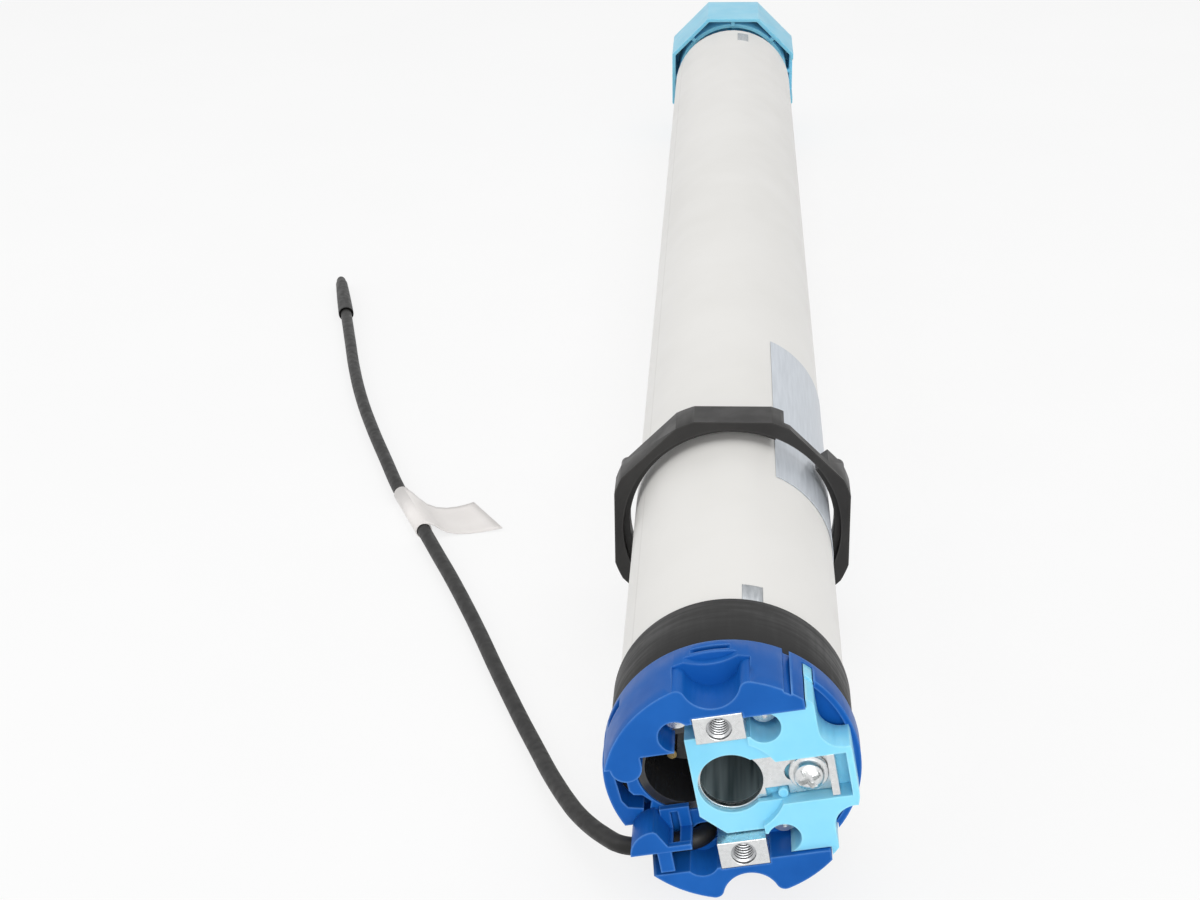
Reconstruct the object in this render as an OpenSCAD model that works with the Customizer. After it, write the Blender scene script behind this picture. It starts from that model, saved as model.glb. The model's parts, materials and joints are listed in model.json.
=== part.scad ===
// Tubular roller blind motor, in millimetres.
// The motor's axis is the Y axis. The head's front plane is at y = 0, the drive end is
// towards +Y, and the motor lies on the bottom flat of its crown.

/* [Tube] */
// Outer diameter of the motor tube
tube_d = 48.2; // [47:0.2:60]
// Wall of the motor tube
tube_wall = 1.2; // [0.8:0.1:2]
// Length of the motor tube
tube_len = 502; // [480:1:1100]
// Width of the keys that lock the head and the gear case
key_w = 4.4; // [3:0.1:6]
// Length of the key at the head
head_key_len = 8; // [6:0.5:16]
// Length of the key at the gear case
gear_key_len = 12; // [8:0.5:14]
// Distance from the tube's drive end to the far side of the gear key
gear_key_inset = 4.4; // [3:0.2:8]
// Angle of the keys to the right of the top
key_angle = 10; // [0:1:40]
// Depth of the key seats below the tube's bore
key_seat = 1.4; // [0.8:0.1:2.4]

/* [Label] */
// Distance of the label from the head's front
label_y = 100; // [60:1:200]
// Length of the label along the tube
label_len = 86; // [30:1:160]
// Angle of the label's near edge to the right of the top
label_angle = 25; // [10:0.5:90]
// Angle that the label wraps round the tube
label_wrap = 137; // [30:1:170]
// Thickness of the label
label_t = 0.15; // [0.1:0.05:0.3]

/* [Head] */
// Roll of the head about the motor's axis, anticlockwise from the front
head_roll = 10; // [0:1:20]
// Step from the tube's surface up to the front of the face blocks
block_step = 1.5; // [1:0.1:1.8]
// Depth of the face blocks in front of the flange
block_depth = 9; // [8:0.5:14]
// Step from the tube's surface up to the flange
flange_step = 2; // [1.8:0.1:2.6]
// Thickness of the flange
flange_t = 6; // [5.5:0.5:10]
// Half height of the gap between the face blocks, at the insert
chord_h = 16.6; // [16.2:0.1:17.4]
// Distance from the axis to the cut right ends of the face blocks
block_cut = 17.3; // [16.5:0.1:18.5]
// Width of the half-round notch in each face block
notch_w = 11.6; // [9:0.2:12]
// Radius of the rounded lips of the notches
lip_r = 1.8; // [1:0.1:2.2]
// Radius of the neck that carries the running ring
neck_r = 22; // [20.5:0.5:23]
// Length of the spigot inside the tube
spigot_len = 26; // [18:1:40]
// Radius of the head's inside
head_bore_r = 18.8; // [18.4:0.1:19.2]

/* [Nuts and screws] */
// Distance between the two bracket bolts
bolt_pitch = 29.6; // [29.4:0.1:30.4]
// Width of an insert nut
nut_w = 10; // [8:0.1:10.2]
// Height of an insert nut
nut_h = 6; // [5.4:0.1:6.2]
// Radius of the thread's hole in an insert nut
thread_r = 2.5; // [1.5:0.1:2.6]
// Sideways place of the head screws
screw_u = 8.6; // [8.5:0.1:9.4]
// Upward place of the head screws
screw_w = 13.1; // [12.6:0.1:13.1]
// Sideways place of the upper left head screw
left_screw_u = 8.8; // [8.7:0.1:9]
// Upward place of the upper left head screw
left_screw_w = 14.3; // [14.1:0.1:14.4]
// Radius of the round pockets over the head screws
pocket_r = 3.4; // [3:0.1:3.4]
// Radius of a head screw's head
screw_head_r = 2.6; // [2.2:0.1:2.7]
// Radius of a head screw's shank
screw_r = 1.5; // [1:0.1:1.8]
// Length of a head screw's shank
screw_len = 14; // [10:1:20]

/* [Bracket insert] */
// Depth of the insert's front behind the face blocks
insert_set = 3; // [2:0.25:3.5]
// Height of the insert's raised right side
insert_raise = 2; // [0.5:0.25:2]
// Radius of the hole for the bracket pin
pin_r = 6.25; // [5:0.05:6.3]
// Depth of the bracket pin's hole behind the insert's front
pin_depth = 24; // [18:0.5:30]
// Distance from the axis to the insert's left edge
insert_left = 7.6; // [7.5:0.1:8.4]
// Radius of the recess around the pin's hole
recess_r = 10.8; // [9.5:0.1:11.2]
// Thickness of the wings along the face blocks
wing_t = 1.5; // [1:0.1:2]
// Radius of the concave corners beside the nose
nose_fillet = 4.6; // [3.5:0.1:4.8]

/* [Latch plate] */
// Thickness of the steel latch plate
latch_t = 1.5; // [1:0.1:1.8]
// Width of the latch plate
latch_w = 9.6; // [8.4:0.1:9.8]
// Travel of the latch plate
latch_travel = 2.2; // [1:0.1:2.4]
// Cover of the insert over the latch plate
latch_cover = 1.2; // [0.8:0.1:1.5]
// Place of the latch screw to the right of the axis
latch_screw_u = 15.5; // [15:0.1:15.8]
// Radius of the latch screw's flanged head
latch_head_r = 4; // [3:0.1:4.3]

/* [Running ring and crown] */
// Step from the tube's surface up to the running ring
ring_step = 1; // [0.5:0.1:1.4]
// Width of the running ring
ring_w = 18.9; // [12:0.1:30]
// Distance from the head's front to the crown
crown_y = 115.4; // [60:0.2:300]
// Width of the crown along the tube
crown_w = 9.8; // [8:0.2:20]
// Thickness of the crown's front plate
crown_plate = 2.6; // [2:0.1:4]
// Wall of the crown at the middle of a flat
crown_wall = 3.6; // [3.2:0.1:6]
// Extra radius of the bore in the crown's front plate
crown_lip = 1.5; // [0.5:0.1:1.8]
// Radius of the snap nubs behind the crown
nub_r = 1.8; // [1.5:0.1:2.4]
// Length of the snap nubs behind the crown
nub_len = 2; // [1:0.5:8]

/* [Drive wheel] */
// Length of the drive wheel
wheel_len = 32.4; // [28:0.2:60]
// Wall of the drive wheel's octagon
wheel_wall = 1.4; // [1:0.1:2.4]
// Distance from the tube's end to the drive wheel
wheel_gap = 12.5; // [8:0.5:16]
// Thickness of the drive wheel's end web
web_t = 4; // [2.5:0.5:8]
// Thickness of the drive wheel's ribs
rib_t = 1.6; // [1:0.1:2.4]
// Depth of the cut in the drive wheel's right flat
wheel_cut = 13; // [6:0.5:18]
// Radius of the drive wheel's hub
hub_r = 11; // [9.5:0.5:16]

/* [Motor and gears] */
// Length of the stator's iron
stator_len = 88; // [40:1:96]
// Radius of the rotor
rotor_r = 12; // [10:0.5:12.5]
// Radius of the rotor's shaft
shaft_r = 4; // [3.4:0.1:5]
// Wall of the gear case behind the teeth
case_wall = 3.6; // [2.5:0.1:4.5]
// Width of a first stage planet gear
planet_w1 = 12; // [9:0.5:14]
// Width of a second stage planet gear
planet_w2 = 16; // [12:0.5:18]
// Width of a third stage planet gear
planet_w3 = 24; // [18:0.5:26]
// Radius of a planet's pin
planet_pin_r = 2; // [1.5:0.1:2.6]
// Thickness of a planet carrier
carrier_t = 5.5; // [4:0.5:8]
// Radius of the output shaft
output_r = 8; // [6.5:0.1:9]
// Length of the output bearing
output_bearing_len = 12; // [8:0.5:14]

/* [Electronics] */
// Length of the control board
board_len = 108; // [60:1:114]
// Width of the control board
board_w = 38; // [33:0.5:38.5]
// Thickness of the control board
board_t = 1.6; // [1:0.1:2]
// Length of the run capacitor
cap_len = 60; // [40:1:66]
// Radius of the run capacitor
cap_r = 15; // [10:0.5:15.5]

/* [Aerial cord] */
// Diameter of the aerial cord
cord_d = 3.8; // [3:0.1:4]
// Length of the cap on the cord's end
cord_cap_len = 30; // [15:1:45]
// Radius of that cap where it meets the cord
cord_cap_r = 2.6; // [2.2:0.1:3]
// Length of the tag along the cord
tag_len = 25; // [15:1:26]
// Reach of the tag out from the cord
tag_reach = 19; // [10:1:30]
// Thickness of the tag
tag_t = 0.4; // [0.3:0.1:0.8]

/* [Hidden] */
$fn = 64;

// Clearances
seat_gap = 0.2;    // between seated pieces
slide_gap = 0.3;   // round pieces that move past each other
run_gap = 0.05;    // shafts and pins in their bores
fit_gap = 0.02;    // pressed pieces
through = 1;       // how far a cut runs past a face
film_gap = 0.1;    // glue under the label

// Radii from the tube
tube_r = tube_d / 2;
tube_ir = tube_r - tube_wall;
block_r = tube_r + block_step;
flange_r = tube_r + flange_step;
ring_r = tube_r + ring_step;
inner_r = tube_ir - seat_gap;

// Octagons: the crown passes over the running ring, the drive wheel clears the tube
crown_bore_r = ring_r + slide_gap;
flat_r = crown_bore_r + crown_wall;
corner_r = flat_r / cos(22.5);
corner_trim = 0.9;
wheel_ease = 0.5;
wheel_flat_r = tube_r + wheel_ease + wheel_wall;
floor_z = -flat_r;

// Places along Y
flange_y = block_depth;
neck_y = flange_y + flange_t;
ring_y = neck_y + seat_gap;
tube_y = ring_y + ring_w + seat_gap;
tube_end = tube_y + tube_len;
insert_y = insert_set;
raised_y = insert_y - insert_raise;
latch_y = insert_y + latch_cover;
core_y = neck_y + seat_gap;
core_end = tube_y + spigot_len + 4;
wheel_y = tube_end + wheel_gap;
wheel_end = wheel_y + wheel_len;
web_y = wheel_end - web_t;
gear_key_end = tube_end - gear_key_inset;

// Gears: three equal stages
sun_teeth = 12;
planet_teeth = 21;
ring_teeth = sun_teeth + 2 * planet_teeth;
pressure = 25;
addendum = 0.9;
dedendum = 1.2;
backlash = 0.13;
case_r = inner_r;
gear_m = (case_r - case_wall) / (ring_teeth / 2 + dedendum);
planet_orbit = gear_m * (sun_teeth + planet_teeth) / 2;
carrier_r = planet_orbit + planet_pin_r + 2;
stage_gap = 1;
planet_w = [planet_w1, planet_w2, planet_w3];

// Places of the gear train, counted back from the end cover
cover_len = 30;
cover_y = tube_end - cover_len;
function carrier_y(stage) = stage == 3
  ? cover_y - stage_gap - carrier_t
  : planet_y(stage + 1) - stage_gap - carrier_t;
function planet_y(stage) = carrier_y(stage) - stage_gap - planet_w[stage - 1];
case_front_t = 5;
case_y = planet_y(1) - stage_gap - case_front_t;
pinion_y = case_y + case_front_t;
pinion_bore = shaft_r / 2;

// Output side: shaft, bearing, cover lip and wheel screw
cover_lip = 2;
bearing_wall = 6;
bearing_y = tube_end - output_bearing_len;
tenon = output_r;
shaft_flat = output_r * 1.4;
shaft_end = wheel_end - 1;
shoulder_y = wheel_y + 1.5;
wheel_bolt_r = 2.5;
wheel_bolt_len = 12;

// Places of the motor, counted back from the gear case
shield_t = 8;
winding_h = 10;
bearing_r = 9;
brake_disc_t = 4;
brake_pad_t = 3;
brake_room = brake_disc_t + brake_pad_t + 3;
rear_y = case_y - brake_room - shield_t;
stator_end = rear_y - winding_h - stage_gap;
stator_y = stator_end - stator_len;
front_end = stator_y - winding_h - stage_gap;
front_y = front_end - shield_t;
cap_gap = 6;
cap_y = front_y - cap_gap - cap_len;
holder_w = 6;
slot_count = 12;
slot_w = 3.2;
slot_in = rotor_r + 2.2;
slot_out = inner_r - 3.2;

// Board, counted on from the head's core
tray_y = core_end + seat_gap;
tray_margin = 4;
tray_t = 2;
board_z = -6;
ledge_h = 2.4;
ledge_w = 2.4;
lead_r = 0.8;
lead_z = 17.2;
lead_step = 2.4;

// Head details, in the rolled head's own right (u) and up (w) directions
nut_in = bolt_pitch / 2 - nut_h / 2;
nut_out = bolt_pitch / 2 + nut_h / 2;
notch_r = notch_w / 2;
insert_edge = nut_in - slide_gap;
nose_u = block_r - 0.8;
rim_u = -flange_r;
notch_c = block_r - 0.3;
lip_gap = block_r - lip_r;
lip_reach = notch_r + lip_r;
lip_place = (lip_gap * lip_gap - lip_reach * lip_reach + notch_c * notch_c) / (2 * notch_c);
lip_u = sqrt(lip_gap * lip_gap - lip_place * lip_place);
arm_low = 8.6;
arm_tip_r = 3.2;
arm_tip_u = rim_u + 6.4;
arm_in = 10.7;
arm_step = 9.6;
clamp_w = -12.2;
clamp_t = 1.4;
clamp_right = -10;
clamp_floor = clamp_w + 0.8;
clamp_ledge = clamp_w + 1.3;
clamp_tip_u = rim_u + 3.5;
hood_u = -17.1;
hood_top = clamp_w + 5.2;
wall_top = clamp_w + 5.4;
left_block_top = -17.4;
socket_u = -9.3;
socket_w = 1.2;
socket_r = 8.2;
socket_depth = 16;
core_hub_wall = 1.1;
insert_ease = 0.5;
insert_back_ease = 1.2;
boss_wall = 1.6;
core_r = head_bore_r - seat_gap;
clamp_slot_u = -13.2;
tab_u = [-17.2, -14.3];
tab_low = left_block_top + 0.4;
exit_u = rim_u + 7.1;
exit_w = [-17, -10.6];
screw_proud = 1.6;
screw_head_h = 2.4;
wing_slot = 4.4;
peg_u = 9.8;
peg_w = -4.1;
peg_r = 1;
latch_tab_u = [19.6, 21.1];
latch_shank_r = 2;
latch_rim = 0.85;
window_end = latch_tab_u[1] + latch_travel + seat_gap;
gland_w = -14.5;
gland_y = 6.7;
gland_r = cord_d / 2 + 0.2;
gland_bend = 4;
gland_u = [rim_u + 7.6, -11.2];
gland_back_u = gland_u[1] + gland_bend;

// Aerial cord: leaves the gland along the head's left direction, then lies on the floor
cord_z = floor_z + max(cord_cap_r, cord_d / 2 + 0.5) + 0.2;
cord_exit = head_point(gland_u[0], gland_y, gland_w);
// steps to the left and back from the exit, and the share of the drop to the floor
cord_route = [
  [0, 0, 0],
  [1.87, 0, 0.038],
  [4.92, 0.54, 0.093],
  [7.6, 2.1, 0.144],
  [9.5, 4.3, 0.196],
  [11, 6.5, 0.254],
  [12.54, 8.8, 0.311],
  [16.5, 15.96, 0.46],
  [19.61, 23.29, 0.598],
  [22.35, 30.51, 0.713],
  [24.92, 37.61, 0.805],
  [27.32, 44.74, 0.885],
  [29.75, 51.73, 0.943],
  [32.22, 58.66, 0.983],
  [37.02, 72.15, 1],
  [41.92, 86.08, 1],
  [46.92, 100.75, 1],
  [52.45, 116.19, 1],
  [58.6, 132.49, 1],
  [63, 143.5, 1],
  [67.9, 155.9, 1],
  [79.36, 183.97, 1],
  [86.32, 204.33, 1],
  [93.56, 226, 1],
  [100.6, 249.1, 1],
  [107, 273.8, 1],
  [112.9, 300.26, 1],
  [116.6, 317.04, 1],
  [119.6, 330.6, 1]
];
cord_points = [for (step = cord_route)
  cord_exit + [-step[0], step[1], step[2] * (cord_z - cord_exit[2])]];
tag_at = 20;       // the tag's sleeve lies between this point and the next

// A point of the rolled head, in the motor's frame
function head_point(u, y, w) = [
  u * cos(head_roll) - w * sin(head_roll),
  y,
  u * sin(head_roll) + w * cos(head_roll)
];

// Helpers

// Thickens a flat outline, drawn in x and z, from y0 to y1
module along_y(y0, y1) {
  translate([0, y1, 0]) rotate([90, 0, 0]) linear_extrude(y1 - y0) children();
}

// A round bar on the motor's axis
module bar(r, y0, y1) {
  translate([0, y0, 0]) rotate([-90, 0, 0]) cylinder(r = r, h = y1 - y0);
}

// A round bar parallel to the motor's axis
module bar_at(x, z, r, y0, y1) {
  translate([x, 0, z]) bar(r, y0, y1);
}

// A ring on the motor's axis
module ring(outer, inner, y0, y1) {
  difference() {
    bar(outer, y0, y1);
    bar(inner, y0 - through, y1 + through);
  }
}

// Turns its children into the rolled head's place
module in_head() {
  rotate([0, -head_roll, 0]) children();
}

// An octagon outline with flats at the top, bottom and sides
module octagon(flat) {
  rotate(22.5) circle(r = flat / cos(22.5), $fn = 8);
}

// A rectangle from two opposite corners
module box_2d(u0, w0, u1, w1) {
  translate([u0, w0]) square([u1 - u0, w1 - w0]);
}

// A round-ended slot along the outline's first direction
module slot_2d(u0, u1, w, r) {
  translate([u0, w]) circle(r);
  translate([u1, w]) circle(r);
  box_2d(u0, w - r, u1, w + r);
}

// Gear outlines
function involute(a) = tan(a) * 180 / PI - a;
function tooth_half(n, r, slack) =
  let (base = gear_m * n / 2 * cos(pressure))
  90 / n + involute(pressure) - involute(acos(min(1, base / r))) - slack / r * 90 / PI;
function gear_points(n, radii, slack) = [
  for (i = [0 : n - 1])
    for (side = [-1, 1])
      for (k = [0 : len(radii) - 1])
        let (r = radii[side < 0 ? k : len(radii) - 1 - k])
        let (a = 360 * i / n + side * tooth_half(n, r, slack))
        r * [cos(a), sin(a)]
];

// An outer gear with its first tooth at the given angle
module gear_2d(n, phase) {
  pitch = gear_m * n / 2;
  root = pitch - dedendum * gear_m;
  tip = pitch + addendum * gear_m;
  base = max(pitch * cos(pressure), root + 0.1 * gear_m);
  rotate(phase) polygon(gear_points(n, [root, base, pitch, tip], backlash / 2));
}

// The hollow of the fixed internal gear
module ring_gear_2d() {
  pitch = gear_m * ring_teeth / 2;
  polygon(gear_points(ring_teeth,
    [pitch - addendum * gear_m, pitch, pitch + dedendum * gear_m], -backlash / 2));
}

// Tube

module key_2d(width) {
  rotate(-key_angle) box_2d(-width / 2, 0, width / 2, tube_r + through);
}

module key_solid(y0, y1, width, top) {
  intersection() {
    along_y(y0, y1) key_2d(width);
    ring(top, tube_ir - key_seat, y0, y1);
  }
}

// Room for a key, cut through the tube or into what it locks
module key_room(y0, y1) {
  along_y(y0, y1) intersection() {
    key_2d(key_w + 2 * run_gap);
    difference() {
      circle(tube_r + through);
      circle(tube_ir - key_seat - run_gap);
    }
  }
}

module motor_tube() {
  color([0.93, 0.92, 0.9]) difference() {
    ring(tube_r, tube_ir, tube_y, tube_end);
    key_room(tube_y - through, tube_y + head_key_len + run_gap);
    key_room(gear_key_end - gear_key_len - run_gap, gear_key_end + run_gap);
  }
}

module head_key() {
  color([0.6, 0.62, 0.64])
    key_solid(tube_y + seat_gap, tube_y + head_key_len, key_w, tube_r);
}

module gear_key() {
  color([0.6, 0.62, 0.64])
    key_solid(gear_key_end - gear_key_len, gear_key_end, key_w, tube_r);
}

module rating_label() {
  steps = 8;
  inner = tube_r + film_gap;
  sector = [for (i = [0 : steps]) let (a = 90 - label_angle - i * label_wrap / steps)
    2 * tube_r * [cos(a), sin(a)]];
  color([0.8, 0.83, 0.86]) intersection() {
    ring(inner + label_t, inner, label_y, label_y + label_len);
    along_y(label_y - through, label_y + label_len + through)
      polygon(concat([[0, 0]], sector));
  }
}

// Head

// A half-round notch with rounded lips, cut down from the top
module notch_2d() {
  translate([0, notch_c]) circle(notch_r);
  for (side = [-1, 1]) difference() {
    polygon([[0, notch_c], [side * lip_u, lip_place], 1.2 * [side * lip_u, lip_place],
      [0, 1.2 * flange_r]]);
    translate([side * lip_u, lip_place]) circle(lip_r);
  }
}

module nut_pocket_2d() {
  box_2d(-nut_w / 2 - run_gap, nut_in - run_gap, nut_w / 2 + run_gap, nut_out + run_gap);
}

module top_block_2d() {
  difference() {
    union() {
      box_2d(-arm_step, chord_h, block_cut, flange_r);
      box_2d(rim_u, arm_in, -arm_step, flange_r);
      box_2d(rim_u, arm_low, arm_tip_u + arm_tip_r, flange_r);
      translate([arm_tip_u, arm_low]) circle(arm_tip_r);
    }
    notch_2d();
    nut_pocket_2d();
    translate([-left_screw_u, left_screw_w]) circle(pocket_r);
    translate([screw_u, screw_w]) circle(pocket_r);
  }
}

module bottom_block_2d() {
  pocket_drop = 1.9;
  difference() {
    union() {
      box_2d(rim_u, -flange_r, 0, left_block_top);
      box_2d(0, -flange_r, block_cut, -chord_h);
    }
    mirror([0, 1]) notch_2d();
    mirror([0, 1]) nut_pocket_2d();
    translate([-screw_u, left_block_top + pocket_drop]) circle(pocket_r);
    translate([screw_u, -screw_w]) circle(pocket_r);
  }
}

// The face blocks share one slightly conical outside with the flange
module face_blocks() {
  root = 1;
  intersection() {
    along_y(0, flange_y + root) {
      top_block_2d();
      bottom_block_2d();
    }
    union() {
      rotate([-90, 0, 0]) cylinder(r1 = block_r, r2 = flange_r, h = flange_y);
      bar(flange_r - root, flange_y - fit_gap, flange_y + root);
    }
  }
}

// The window in the flange that the core's boss fills
module flange_window_2d(grow) {
  circle(pin_r + core_hub_wall + boss_wall + grow);
  translate([socket_u, socket_w]) circle(socket_r + boss_wall + grow);
}

// Cuts through the flange: slots, bolt holes and the aerial's way out at the lower left
module flange_cuts_2d() {
  box_2d(rim_u - through, exit_w[0], exit_u, exit_w[1]);
  // hooked slot below the arm
  polygon([[rim_u + 2.2, 2.4], [rim_u + 4.4, 2.4], [rim_u + 4.6, -2.4], [rim_u + 5.3, -3.5],
    [rim_u + 7.1, -3.8], [rim_u + 8.7, -5.5], [rim_u + 7.2, -9.8], [rim_u + 6.2, -9.8],
    [rim_u + 6.8, -7], [rim_u + 3.7, -6.3], [rim_u + 2.7, -4.6]]);
  slot_2d(gland_back_u - 1, gland_back_u, gland_w, gland_r + seat_gap);
  for (side = [-1, 1])
    translate([0, side * bolt_pitch / 2]) circle(thread_r + seat_gap);
}

// Slots in the flange's rim for the tails of the insert's wings
module wing_slots_2d() {
  for (side = [0, 1]) mirror([0, side])
    box_2d(block_cut, chord_h - seat_gap, block_cut + wing_t + 2 * seat_gap, flange_r + through);
}

// A groove along the outside of the upper face block, near its right end
module block_groove_2d() {
  from = block_cut - 3.5;
  to = block_cut - 2.2;
  depth = 0.4;
  difference() {
    box_2d(from, 0, to, flange_r + through);
    circle(block_r - depth);
  }
}

// A shallow recess in the flange's rim, between two angles
module rim_recess(from, to) {
  depth = 0.8;
  margin = 1.3;
  reach = 2 * flange_r;
  intersection() {
    ring(flange_r + through, flange_r - depth, flange_y + margin, neck_y - margin);
    along_y(flange_y, neck_y)
      polygon([[0, 0], reach * [cos(from), sin(from)], reach * [cos(to), sin(to)]]);
  }
}

module each_head_screw() {
  for (place = [[screw_u, screw_w], [screw_u, -screw_w], [-left_screw_u, left_screw_w]])
    translate([place[0], 0, place[1]]) children();
}

module head_housing() {
  rim_w = 1.3;
  rim_d = 1.2;
  smile_r = 13.6;
  smile_drop = 1.7;
  smile_d = 1.8;
  crescent_r = 6;
  crescent_drop = 1.9;
  crescent_d = 1.6;
  crescent_y = flange_y + smile_d + 0.8;
  color([0.1, 0.28, 0.62]) in_head() difference() {
    union() {
      face_blocks();
      bar(flange_r, flange_y, neck_y);
      bar(neck_r, neck_y - fit_gap, tube_y + fit_gap);
      bar(tube_ir - fit_gap, tube_y, tube_y + spigot_len);
    }
    bar(head_bore_r, neck_y, tube_y + spigot_len + through);
    along_y(flange_y - through, neck_y + through) flange_window_2d(seat_gap);
    along_y(flange_y, neck_y + seat_gap) flange_cuts_2d();
    along_y(flange_y, flange_y + wing_slot + seat_gap) wing_slots_2d();
    along_y(-through, neck_y + through) block_groove_2d();
    // sunk face of the flange on the right, inside its rim
    along_y(flange_y - through, flange_y + rim_d) intersection() {
      circle(flange_r - rim_w);
      box_2d(block_cut + wing_t + seat_gap, -flange_r, flange_r, flange_r);
    }
    // a dip and a crescent behind each notch
    for (side = [-1, 1]) {
      bar_at(0, side * (flange_r + smile_r - smile_drop), smile_r, flange_y - fit_gap,
        flange_y + smile_d);
      bar_at(0, side * (flange_r + crescent_r - crescent_drop), crescent_r,
        crescent_y, crescent_y + crescent_d);
    }
    rim_recess(140, 153);
    rim_recess(157, 166);
    each_head_screw() {
      bar(screw_r + run_gap, flange_y - through, neck_y + through);
      bar(screw_head_r + run_gap, flange_y - through, flange_y - screw_proud + screw_head_h);
    }
    bar_at(latch_screw_u, 0, latch_shank_r + run_gap, flange_y - through, neck_y + through);
    rotate([0, head_roll, 0]) key_room(tube_y - through, tube_y + head_key_len + run_gap);
  }
}

// Outline of the clamp seen from the front: a rounded hood, a slope and a low ledge
module clamp_2d() {
  hood_r = (hood_u - clamp_tip_u);
  slope_u = hood_u + 2.4;
  intersection() {
    translate([hood_u, hood_top - hood_r]) circle(hood_r);
    box_2d(clamp_tip_u, clamp_w, hood_u + fit_gap, hood_top);
  }
  polygon([[hood_u, clamp_w], [hood_u, hood_top], [hood_u + 0.6, hood_top - 0.4],
    [slope_u, clamp_ledge], [clamp_right, clamp_ledge], [clamp_right, clamp_w]]);
}

module cable_clamp() {
  wall_t = 1.4;
  gap_w = 1.5;
  back = flange_y - seat_gap;
  slope_u = hood_u + 2.4;
  color([0.1, 0.28, 0.62]) in_head() difference() {
    union() {
      along_y(0, clamp_t) clamp_2d();
      along_y(clamp_t - fit_gap, back) intersection() {
        clamp_2d();
        box_2d(clamp_tip_u, clamp_w, slope_u, hood_top);
      }
      along_y(clamp_t - fit_gap, back) box_2d(slope_u - fit_gap, clamp_w, clamp_right, clamp_floor);
      along_y(back - wall_t, back) box_2d(slope_u - wall_t, clamp_w, clamp_right, wall_top);
      along_y(seat_gap, clamp_t) box_2d(tab_u[0], tab_low, tab_u[1], clamp_w + fit_gap);
    }
    along_y(clamp_t + seat_gap, flange_y)
      box_2d(clamp_slot_u - gap_w / 2, clamp_w - through, clamp_slot_u + gap_w / 2, wall_top - 0.9);
  }
}

// Bracket insert and latch

module insert_2d() {
  right = block_cut + seat_gap;
  wing = right + wing_t;
  chamfer = 4.8;
  nose_top = chord_h - 5.6;
  nose_low = chord_h - 4.6;
  difference() {
    intersection() {
      circle(block_r - seat_gap);
      union() {
        polygon([[-insert_left, insert_edge], [-insert_left, chamfer - insert_edge],
          [chamfer - insert_left, -insert_edge], [screw_u + fit_gap, -insert_edge],
          [screw_u + fit_gap, insert_edge]]);
        box_2d(screw_u, seat_gap - chord_h, right + fit_gap, chord_h - seat_gap);
        box_2d(right, -block_r, wing, block_r);
        difference() {
          box_2d(wing - fit_gap, -nose_low, nose_u, nose_top);
          for (end = [-nose_low, nose_top])
            translate([wing + nose_fillet, end]) circle(nose_fillet);
        }
      }
    }
    for (side = [-1, 1])
      translate([screw_u, side * screw_w]) circle(pocket_r);
  }
}

module latch_room_2d() {
  rim = pin_r + latch_rim + seat_gap;
  slot_2d(0, latch_travel, 0, rim);
  box_2d(0, -latch_w / 2 - seat_gap, window_end, latch_w / 2 + seat_gap);
}

module bracket_insert() {
  color([0.45, 0.8, 0.98]) in_head() {
    difference() {
      union() {
        along_y(insert_y, flange_y) insert_2d();
        along_y(raised_y, insert_y + fit_gap) intersection() {
          difference() {
            insert_2d();
            circle(recess_r);
          }
          box_2d(nut_w / 2, -block_r, block_r, block_r);
        }
      }
      bar(pin_r + insert_ease, insert_y - through, latch_y + fit_gap);
      bar(pin_r + insert_back_ease, latch_y, flange_y + through);
      along_y(raised_y - through, latch_y + fit_gap)
        box_2d(0, -latch_w / 2 - seat_gap, window_end, latch_w / 2 + seat_gap);
      along_y(latch_y, latch_y + latch_t + seat_gap) latch_room_2d();
      bar_at(latch_screw_u, 0, latch_shank_r + run_gap, insert_y, flange_y + through);
    }
    bar_at(peg_u, peg_w, peg_r, latch_y - 0.6, latch_y + latch_t + seat_gap + fit_gap);
    wing_tails();
  }
}

// The wings' tails, in their slots of the flange
module wing_tails() {
  right = block_cut + seat_gap;
  along_y(flange_y - fit_gap, flange_y + wing_slot) intersection() {
    circle(flange_r - seat_gap);
    for (side = [-1, 1])
      translate([right + wing_t / 2, side * (chord_h + seat_gap + flange_r / 2)])
        square([wing_t, flange_r], center = true);
  }
}

module latch_plate() {
  tab_y = raised_y + 0.4;
  front = latch_y + seat_gap / 2;
  back = front + latch_t;
  color([0.82, 0.83, 0.83]) in_head() {
    along_y(front, back) difference() {
      union() {
        circle(pin_r + latch_rim);
        box_2d(0, -latch_w / 2, latch_tab_u[1], latch_w / 2);
      }
      circle(pin_r + run_gap);
      slot_2d(latch_screw_u - latch_travel - 0.4, latch_screw_u, 0, latch_shank_r + seat_gap);
      box_2d(peg_u - latch_travel - peg_r - seat_gap, -latch_w, peg_u + peg_r + seat_gap,
        peg_w + peg_r + seat_gap);
    }
    along_y(tab_y, back) box_2d(latch_tab_u[0], -latch_w / 2, latch_tab_u[1], latch_w / 2);
  }
}

module latch_screw() {
  flange_front = latch_y - 1;
  head_front = raised_y - 0.4;
  cross_w = 0.9;
  cross_l = 4.2;
  color([0.85, 0.86, 0.87]) in_head() translate([latch_screw_u, 0, 0]) difference() {
    union() {
      bar(latch_head_r, flange_front, latch_y);
      bar(latch_head_r - 0.9, head_front, flange_front + fit_gap);
      bar(latch_shank_r, latch_y - fit_gap, neck_y - 1);
    }
    along_y(head_front - through, head_front + 1.4) {
      square([cross_l, cross_w], center = true);
      square([cross_w, cross_l], center = true);
    }
  }
}

module insert_nuts() {
  color([0.82, 0.83, 0.83]) in_head() for (side = [-1, 1])
    along_y(0, flange_y - run_gap) translate([0, side * bolt_pitch / 2]) difference() {
      square([nut_w, nut_h], center = true);
      circle(thread_r);
    }
}

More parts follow.
